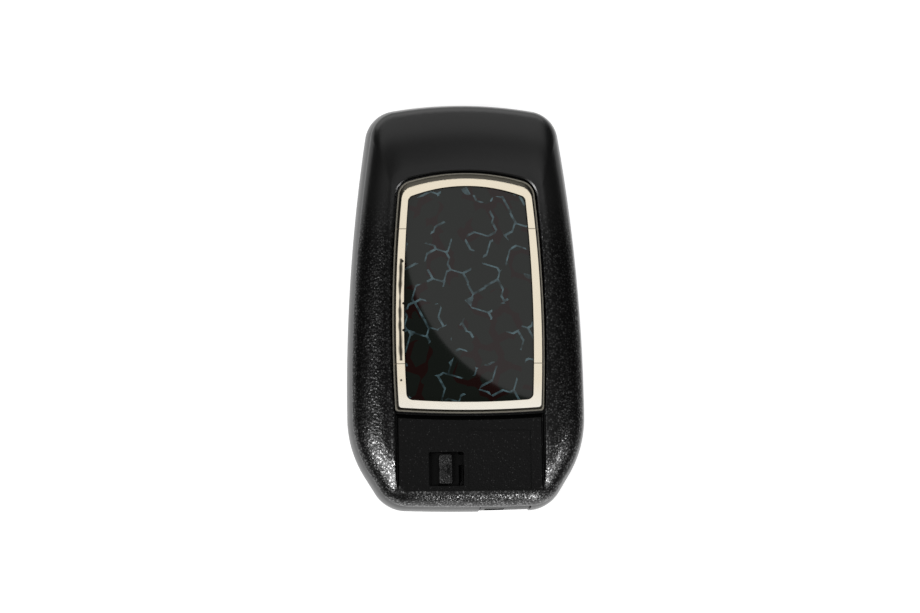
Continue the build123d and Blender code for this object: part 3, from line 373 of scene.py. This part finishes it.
def platedFrame(s):
    material, tree, shader, point = newMaterial("brightPlatedAbs", {"metal": 1.0})
    place = addNode(tree, "SeparateXYZ", {}, {0: point}).outputs
    onFace = addNode(tree, "Math", {"operation": "GREATER_THAN", 1: s["face"]["low"]}, {0: place["Z"]})
    onFoot = addNode(tree, "Math", {"operation": "LESS_THAN", 1: s["foot"]["top"]}, {0: place["Z"]})
    # painted shade: the skirt and the foot below the face take greys darker than the face
    paintedShadeUnder = addNode(tree, "Mix", {"data_type": "RGBA", "A": s["skirt"]["colour"], "B": s["foot"]["colour"]},
                    {"Factor": onFoot})
    tone = addNode(tree, "Mix", {"data_type": "RGBA", "B": s["face"]["colour"]},
                   {"Factor": onFace, "A": paintedShadeUnder})

    # the face is painted whiter towards the lower bar as a painted highlight, and moulding joints cross both
    # side bars
    start, full = s["lowerBarHighlight"]["y"]
    lower = addNode(tree, "MapRange", {"From Min": start, "From Max": full}, {"Value": place["Y"]})
    lower = addNode(tree, "Math", {"operation": "MULTIPLY"}, {0: lower, 1: onFace})
    tone = addNode(tree, "Mix", {"data_type": "RGBA", "B": s["lowerBarHighlight"]["colour"]},
                   {"Factor": lower, "A": tone})
    marks = s["marks"]
    for y in marks["y"]:
        near = addNode(tree, "Math", {"operation": "COMPARE", 1: y, 2: marks["halfWidth"]}, {0: place["Y"]})
        tone = addNode(tree, "Mix", {"data_type": "RGBA", "B": marks["colour"]}, {"Factor": near, "A": tone})

    # painted reflection: the dark line down the left bar, together with the nicks
    dark = paintedReflectionAndNicks(tree, point, place, s["paintedReflection"], s["nicks"])
    tone = addNode(tree, "Mix", {"data_type": "RGBA", "B": s["paintedReflection"]["colour"]}, {"Factor": dark, "A": tone})
    rough = addNode(tree, "Mix", {"data_type": "FLOAT", "A": s["skirt"]["rough"], "B": s["face"]["rough"]},
                    {"Factor": onFace})
    wave = addNode(tree, "TexNoise", {"Scale": 1 / s["wave"]["size"], "Detail": 1.0}, {"Vector": point})
    bump = addNode(tree, "Bump", {"Distance": s["wave"]["depth"]}, {"Height": wave})
    linkUp(tree, shader, {"Base Color": tone, "Roughness": rough, "Normal": bump})
    return material


paint(["window_frame"], platedFrame(frameSet))

# window: moulded PMMA plate bonded to a screen-printed sheet. The plate is polished and bows outwards a
# little, which bends the edge of the reflected light; the print under it is near black with a broken net of
# thin teal strokes and wider maroon shadows beside them. The plate is drawn with the bonded print as its
# colour.
windowSet = {
    "plateFinish": {"rough": 0.03, "ior": 1.49, "specular": 0.39},
    "sheetFinish": {"rough": 0.5},
    "ground": "#101310",
    "cell": 4.9 * mm,
    "cellChance": 0.9,
    "turn": math.radians(17),
    "shown": 0.50,  # the patch noise above which a line is printed
    "strokes": {"width": 0.30 * mm, "shift": (0.0, 0.0), "patch": 7.0 * mm, "pick": 0.0},
    "strokeInk": {"colours": ("#1A2223", "#42555A"), "wear": 1.6 * mm, "levels": (0.35, 0.65)},
    "shadows": {"width": 1.0 * mm, "shift": (-0.7 * mm, 0.6 * mm), "patch": 8.0 * mm, "pick": 3.0},
    "shadowInk": "#150807",
    "bowRadius": 375.0 * mm,
    "bowHigh": (-0.2 * mm, -0.6 * mm),
}


def brokenNet(tree, flat, s, lines):
    # 1 on lines of one width between square-cornered cells, turned a little and printed in patches only
    turned = addNode(tree, "Mapping", {"Location": (*lines["shift"], 0.0), "Rotation": (0.0, 0.0, s["turn"])},
                     {"Vector": flat})
    cells = {"distance": "CHEBYCHEV", "voronoi_dimensions": "2D", "Scale": 1 / s["cell"],
             "Randomness": s["cellChance"]}
    second = addNode(tree, "TexVoronoi", {"feature": "F2", **cells}, {"Vector": turned})
    first = addNode(tree, "TexVoronoi", {"feature": "F1", **cells}, {"Vector": turned})
    apart = addNode(tree, "Math", {"operation": "SUBTRACT"}, {0: second, 1: first})
    edge = addNode(tree, "Math", {"operation": "LESS_THAN", 1: lines["width"] / s["cell"]}, {0: apart})
    patch = addNode(tree, "TexNoise", {"noise_dimensions": "4D", "Scale": 1 / lines["patch"], "Detail": 1.0,
                                       "W": lines["pick"]}, {"Vector": flat})
    shown = addNode(tree, "Math", {"operation": "GREATER_THAN", 1: s["shown"]}, {0: patch})
    return addNode(tree, "Math", {"operation": "MULTIPLY"}, {0: edge, 1: shown})


def printColour(tree, point, s):
    flat = addNode(tree, "VectorMath", {"operation": "MULTIPLY", 1: (1.0, 1.0, 0.0)}, {0: point})
    ink = s["strokeInk"]
    wear = addNode(tree, "TexNoise", {"Scale": 1 / ink["wear"], "Detail": 2.0}, {"Vector": flat})
    start, full = ink["levels"]
    level = addNode(tree, "MapRange", {"From Min": start, "From Max": full}, {"Value": wear})
    stroke = addNode(tree, "Mix", {"data_type": "RGBA", "A": ink["colours"][0], "B": ink["colours"][1]},
                     {"Factor": level})
    base = addNode(tree, "Mix", {"data_type": "RGBA", "A": s["ground"], "B": s["shadowInk"]},
                   {"Factor": brokenNet(tree, flat, s, s["shadows"])})
    return addNode(tree, "Mix", {"data_type": "RGBA"},
                   {"Factor": brokenNet(tree, flat, s, s["strokes"]), "A": base, "B": stroke})


def backPrintedPlate(s):
    material, tree, shader, point = newMaterial("backPrintedPmmaPlate", s["plateFinish"])
    centred = addNode(tree, "VectorMath", {"operation": "SUBTRACT", 1: (*s["bowHigh"], 0.0)}, {0: point})
    flat = addNode(tree, "VectorMath", {"operation": "MULTIPLY", 1: (1.0, 1.0, 0.0)}, {0: centred})
    square = addNode(tree, "VectorMath", {"operation": "DOT_PRODUCT"}, {0: flat, 1: flat})
    sink = addNode(tree, "Math", {"operation": "MULTIPLY", 1: -0.5 / s["bowRadius"]}, {0: square})
    bump = addNode(tree, "Bump", {"Distance": 1.0}, {"Height": sink})
    linkUp(tree, shader, {"Base Color": printColour(tree, point, s), "Normal": bump})
    return material


def printedSheet(s):
    material, tree, shader, point = newMaterial("screenPrintedSheet", s["sheetFinish"])
    linkUp(tree, shader, {"Base Color": printColour(tree, point, s)})
    return material


paint(["window_glass"], backPrintedPlate(windowSet))
paint(["window_print"], printedSheet(windowSet))
print("window finished")

# release slider: moulded POM, dull black. The plate is finely spark-eroded, with a darker tone and lower
# shine as painted shade in its recess; the knob on it is coarse from the thumb's wear, with a raised ring at
# each end and a small notch that points to the release side, which takes the plate's painted shade.
sliderSet = {
    "finish": {"rough": 0.42},
    "plate": {"colour": "#060606", "shine": 0.12},
    "knob": {"colour": "#080808", "shine": 0.32, "low": 11.0 * mm, "grain": 0.42 * mm, "depth": 0.16 * mm},
    "rings": [(-4.75 * mm, -30.4 * mm), (-4.75 * mm, -33.6 * mm)],
    "ringPitch": 0.5 * mm,
    "ringRadius": 0.95 * mm,
    "ringHeight": 0.03 * mm,
    "notch": {"tip": (-4.45 * mm, -32.1 * mm), "slope": 2.1, "right": -3.9 * mm, "depth": 0.2 * mm},
}


def sliderPom(s):
    material, tree, shader, point = newMaterial("dullBlackPom", s["finish"])
    place = addNode(tree, "SeparateXYZ", {}, {0: point}).outputs
    onKnob = addNode(tree, "Math", {"operation": "GREATER_THAN", 1: s["knob"]["low"]}, {0: place["Z"]})

    # the notch opens from its tip to the right
    tipX, tipY = s["notch"]["tip"]
    right = addNode(tree, "Math", {"operation": "SUBTRACT", 1: tipX}, {0: place["X"]})
    span = addNode(tree, "Math", {"operation": "MULTIPLY", 1: s["notch"]["slope"]}, {0: right})
    offset = addNode(tree, "Math", {"operation": "SUBTRACT", 1: tipY}, {0: place["Y"]})
    high = addNode(tree, "Math", {"operation": "ABSOLUTE"}, {0: offset})
    notch = addNode(tree, "Math", {"operation": "LESS_THAN"}, {0: high, 1: span})
    ends = addNode(tree, "Math", {"operation": "LESS_THAN", 1: s["notch"]["right"]}, {0: place["X"]})
    notch = addNode(tree, "Math", {"operation": "MULTIPLY"}, {0: notch, 1: ends})
    # painted shade: the plate and the notch take the darker tone and the lower shine
    unshadedKnob = addNode(tree, "Math", {"operation": "SUBTRACT", "use_clamp": True}, {0: onKnob, 1: notch})
    tone = addNode(tree, "Mix", {"data_type": "RGBA", "A": s["plate"]["colour"], "B": s["knob"]["colour"]},
                   {"Factor": unshadedKnob})
    shine = addNode(tree, "Mix", {"data_type": "FLOAT", "A": s["plate"]["shine"], "B": s["knob"]["shine"]},
                    {"Factor": unshadedKnob})

    # coarse grain with fine rings on the knob, and the notch sunk into it
    coarse = addNode(tree, "TexNoise", {"Scale": 1 / s["knob"]["grain"], "Detail": 2.0}, {"Vector": point})
    height = addNode(tree, "Math", {"operation": "MULTIPLY", 1: s["knob"]["depth"]}, {0: coarse})
    flat = addNode(tree, "VectorMath", {"operation": "MULTIPLY", 1: (1.0, 1.0, 0.0)}, {0: point})
    for x, y in s["rings"]:
        apart = addNode(tree, "VectorMath", {"operation": "DISTANCE", 1: (x, y, 0.0)}, {0: flat})
        turn = addNode(tree, "Math", {"operation": "MULTIPLY", 1: math.tau / s["ringPitch"]}, {0: apart})
        ring = addNode(tree, "Math", {"operation": "COSINE"}, {0: turn})
        near = addNode(tree, "Math", {"operation": "LESS_THAN", 1: s["ringRadius"]}, {0: apart})
        ring = addNode(tree, "Math", {"operation": "MULTIPLY"}, {0: ring, 1: near})
        height = addNode(tree, "Math", {"operation": "MULTIPLY_ADD", 1: -s["ringHeight"]},
                         {0: ring, 2: height})
    height = addNode(tree, "Math", {"operation": "MULTIPLY"}, {0: height, 1: onKnob})
    sunk = addNode(tree, "Math", {"operation": "MULTIPLY_ADD", 1: -s["notch"]["depth"]},
                   {0: notch, 2: height})
    bump = addNode(tree, "Bump", {"Distance": 1.0}, {"Height": sunk})
    linkUp(tree, shader, {"Base Color": tone, "Specular IOR Level": shine, "Normal": bump})
    return material


paint(["release_slider"], sliderPom(sliderSet))
print("slider finished")

# inner pieces, seen when the emergency key is drawn or the fob is opened; each finish is two close tones in a
# noise of a real size, stretched along the way that the piece was made
innerSet = [
    # blade guide: glossier POM with flow marks along the blade
    {"name": "flowMarkedPom", "on": ["blade_guide"], "tones": ("#101010", "#191919"), "size": 0.5 * mm,
     "depth": 0.004 * mm, "stretch": (1.0, 0.2, 1.0), "finish": {"rough": 0.4}},
    # module case and cover: glass-filled PBT, whose fibres show as fine streaks in a dull black
    {"name": "glassFilledPbt", "on": ["module_case", "module_cover"], "tones": ("#121314", "#1F2021"),
     "size": 0.35 * mm, "depth": 0.006 * mm, "stretch": (1.0, 0.25, 1.0), "finish": {"rough": 0.52}},
    # module seal and keypad: moulded silicone rubber, soft grey with a faint bloom
    {"name": "mouldedSealSilicone", "on": ["module_gasket"], "tones": ("#3A3F42", "#474D50"),
     "size": 0.8 * mm, "depth": 0.004 * mm, "finish": {"rough": 0.6}},
    {"name": "mouldedKeypadSilicone", "on": ["keypad_membrane"], "tones": ("#232527", "#303335"),
     "size": 0.9 * mm, "depth": 0.004 * mm, "finish": {"rough": 0.55}},
    # carrier tape: die-cut acrylic foam, dark grey with open pores at the cut edge
    {"name": "acrylicFoamTape", "on": ["carrier_tape"], "tones": ("#242427", "#3B3B3F"), "size": 0.25 * mm,
     "depth": 0.015 * mm, "finish": {"rough": 0.8, "specular": 0.3}},
    # screws: zinc-plated steel, bluish bright with a rolled surface
    {"name": "zincPlatedSteel", "on": ["module_screws", "retainer_screws"], "tones": ("#9EA3A8", "#C0C4C8"),
     "size": 0.3 * mm, "depth": 0.003 * mm, "finish": {"metal": 1.0, "rough": 0.28}},
    # slider retainer: stamped steel strip, coloured black, so that it stays dark beside the slider
    {"name": "blackSteelStrip", "on": ["slider_retainer"], "tones": ("#060606", "#0E0E0F"), "size": 0.3 * mm,
     "depth": 0.006 * mm, "finish": {"rough": 0.6, "specular": 0.2}},
    # slider spring: hard-drawn wire, grey with fine marks along the spring
    {"name": "hardDrawnWire", "on": ["slider_spring"], "tones": ("#74777B", "#94979B"), "size": 0.2 * mm,
     "depth": 0.004 * mm, "stretch": (0.3, 1.0, 1.0), "finish": {"metal": 1.0, "rough": 0.32}},
    # battery contacts: nickel-plated phosphor bronze, warm grey
    {"name": "platedPhosphorBronze", "on": ["negative_contact", "positive_contact"],
     "tones": ("#A9A08A", "#C6BDA6"), "size": 0.6 * mm, "depth": 0.003 * mm,
     "finish": {"metal": 1.0, "rough": 0.25}},
    # coin cell: drawn stainless can, brushed along x
    {"name": "brushedStainlessCan", "on": ["coin_cell"], "tones": ("#A6A8A9", "#C9CACA"), "size": 0.25 * mm,
     "depth": 0.003 * mm, "stretch": (0.06, 1.0, 1.0), "finish": {"metal": 1.0, "rough": 0.27}},
    # crystal can: nickel silver, drawn and bright
    {"name": "drawnNickelSilver", "on": ["crystal"], "tones": ("#B3AFA2", "#CBC7BA"), "size": 0.5 * mm,
     "depth": 0.003 * mm, "finish": {"metal": 1.0, "rough": 0.22}},
    # chips: epoxy moulding compound, fine silica sparkle in a dull black
    {"name": "mouldedEpoxy", "on": ["controller_chip", "transponder_chip"], "tones": ("#141516", "#26282A"),
     "size": 0.12 * mm, "depth": 0.006 * mm, "finish": {"rough": 0.5}},
    # capacitors: sintered ceramic, brown with a slight grain
    {"name": "sinteredCeramic", "on": ["chip_capacitors"], "tones": ("#4E3A28", "#6D5238"), "size": 0.2 * mm,
     "depth": 0.004 * mm, "finish": {"rough": 0.5}},
    # antenna core: pressed and sintered ferrite, charcoal and gritty
    {"name": "sinteredFerrite", "on": ["antenna_core"], "tones": ("#262628", "#39393B"), "size": 0.15 * mm,
     "depth": 0.008 * mm, "finish": {"rough": 0.6}},
    # indicator: white reflector package with a faint yellow phosphor
    {"name": "ledPackage", "on": ["indicator_led"], "tones": ("#E3DCC2", "#F0EDE2"), "size": 0.4 * mm,
     "depth": 0.002 * mm, "finish": {"rough": 0.35}},
    # head pin: ground steel with fine lines
    {"name": "groundSteelPin", "on": ["head_pin"], "tones": ("#93969A", "#B5B8BB"), "size": 0.15 * mm,
     "depth": 0.002 * mm, "stretch": (0.1, 0.1, 1.0), "finish": {"metal": 1.0, "rough": 0.22}},
    # key blade: nickel silver, milled along its length, warm grey with fine tool lines
    {"name": "milledNickelSilver", "on": ["key_blade"], "tones": ("#A39F92", "#C8C4B6"), "size": 0.16 * mm,
     "depth": 0.004 * mm, "stretch": (1.0, 0.04, 1.0), "finish": {"metal": 1.0, "rough": 0.26}},
]
toneLevels = (0.3, 0.7)  # the noise levels where the darker tone ends and the lighter one is full


def mottled(s):
    # the noise gives both the tones and a relief of a real depth
    material, tree, shader, point = newMaterial(s["name"], s["finish"])
    stretch = s.get("stretch", (1.0, 1.0, 1.0))
    along = addNode(tree, "VectorMath", {"operation": "MULTIPLY", 1: stretch}, {0: point})
    noise = addNode(tree, "TexNoise", {"Scale": 1 / s["size"], "Detail": 2.0}, {"Vector": along})
    start, full = toneLevels
    spread = addNode(tree, "MapRange", {"From Min": start, "From Max": full}, {"Value": noise})
    darker, lighter = s["tones"]
    tone = addNode(tree, "Mix", {"data_type": "RGBA", "A": darker, "B": lighter}, {"Factor": spread})
    bump = addNode(tree, "Bump", {"Distance": s["depth"]}, {"Height": noise})
    linkUp(tree, shader, {"Base Color": tone, "Normal": bump})
    return material


for piece in innerSet:
    paint(piece["on"], mottled(piece))

# antenna winding: enamelled copper wire; the eye gets even ridges of one wire's thickness, with painted shade
# between the turns and a painted highlight on their crests
windingSet = {"finish": {"metal": 1.0, "rough": 0.3}, "wire": 0.20 * mm, "depth": 0.06 * mm,
              "light": "#C77A45", "dark": "#6E3517"}


def enamelledWire(s):
    material, tree, shader, point = newMaterial("enamelledCopperWire", s["finish"])
    place = addNode(tree, "SeparateXYZ", {}, {0: point}).outputs
    turn = addNode(tree, "Math", {"operation": "MULTIPLY", 1: math.tau / s["wire"]}, {0: place["Z"]})
    ridge = addNode(tree, "Math", {"operation": "COSINE"}, {0: turn})
    spread = addNode(tree, "MapRange", {"From Min": -1.0}, {"Value": ridge})
    # painted shade in the grooves between the turns, and a painted highlight on their crests
    tone = addNode(tree, "Mix", {"data_type": "RGBA", "A": s["dark"], "B": s["light"]}, {"Factor": spread})
    bump = addNode(tree, "Bump", {"Distance": s["depth"]}, {"Height": spread})
    linkUp(tree, shader, {"Base Color": tone, "Normal": bump})
    return material


paint(["antenna_winding"], enamelledWire(windingSet))

# switches: stamped tinned steel cover with a black plunger on the keypad side
switchSet = {"finish": {"rough": 0.3}, "cover": "#B9B8B2", "plunger": "#101010", "plungerTop": 3.95 * mm,
             "size": 0.4 * mm, "depth": 0.003 * mm}


def tinnedSwitch(s):
    material, tree, shader, point = newMaterial("tinnedSwitchCover", s["finish"])
    place = addNode(tree, "SeparateXYZ", {}, {0: point}).outputs
    cover = addNode(tree, "Math", {"operation": "GREATER_THAN", 1: s["plungerTop"]}, {0: place["Z"]})
    tone = addNode(tree, "Mix", {"data_type": "RGBA", "A": s["plunger"], "B": s["cover"]}, {"Factor": cover})
    noise = addNode(tree, "TexNoise", {"Scale": 1 / s["size"], "Detail": 2.0}, {"Vector": point})
    bump = addNode(tree, "Bump", {"Distance": s["depth"]}, {"Height": noise})
    linkUp(tree, shader, {"Base Color": tone, "Metallic": cover, "Normal": bump})
    return material


paint(["lock_switch", "unlock_switch", "trunk_switch"], tinnedSwitch(switchSet))

# circuit board: FR-4 with green solder resist; tracks show as lighter bands and vias as small tinned dots
boardSet = {"finish": {"rough": 0.34}, "resist": "#0C3A22", "track": "#1A5A36", "tin": "#B9B7A8",
            "pitch": 2.6 * mm, "trackShare": 0.16, "via": 0.3 * mm, "depth": 0.02 * mm}


def resistBoard(s):
    material, tree, shader, point = newMaterial("solderResistFr4", s["finish"])
    flat = addNode(tree, "VectorMath", {"operation": "MULTIPLY", 1: (1.0, 1.0, 0.0)}, {0: point})
    cells = {"distance": "CHEBYCHEV", "voronoi_dimensions": "2D", "Scale": 1 / s["pitch"]}
    second = addNode(tree, "TexVoronoi", {"feature": "F2", **cells}, {"Vector": flat})
    first = addNode(tree, "TexVoronoi", {"feature": "F1", **cells}, {"Vector": flat})
    apart = addNode(tree, "Math", {"operation": "SUBTRACT"}, {0: second, 1: first})
    track = addNode(tree, "Math", {"operation": "LESS_THAN", 1: s["trackShare"]}, {0: apart})
    via = addNode(tree, "Math", {"operation": "LESS_THAN", 1: s["via"] / s["pitch"]}, {0: first})
    tone = addNode(tree, "Mix", {"data_type": "RGBA", "A": s["resist"], "B": s["track"]}, {"Factor": track})
    tone = addNode(tree, "Mix", {"data_type": "RGBA", "B": s["tin"]}, {"Factor": via, "A": tone})
    bump = addNode(tree, "Bump", {"Distance": s["depth"]}, {"Height": track})
    linkUp(tree, shader, {"Base Color": tone, "Metallic": via, "Normal": bump})
    return material


paint(["circuit_board"], resistBoard(boardSet))
print("inner pieces finished")

# slider spring: a joined copy of the coil, carried by the fob, takes the place of the spring's own node
springSet = {"node": "slider_spring", "joint": "release_slide", "mergeBelow": 0.001 * mm}


def movingSpring(s):
    bpy.ops.object.select_all(action="DESELECT")
    coil = bpy.data.objects.new("sliderSpringCoil", nodes[s["node"]].data.copy())
    bpy.context.collection.objects.link(coil)
    coil.select_set(True)
    bpy.context.view_layer.objects.active = coil
    bpy.ops.object.mode_set(mode="EDIT")
    bpy.ops.mesh.select_all(action="SELECT")
    bpy.ops.mesh.remove_doubles(threshold=s["mergeBelow"])
    bpy.ops.object.mode_set(mode="OBJECT")
    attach(coil, "fob")
    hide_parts(s["node"])
    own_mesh(coil)


movingSpring(springSet)
print("spring finished")
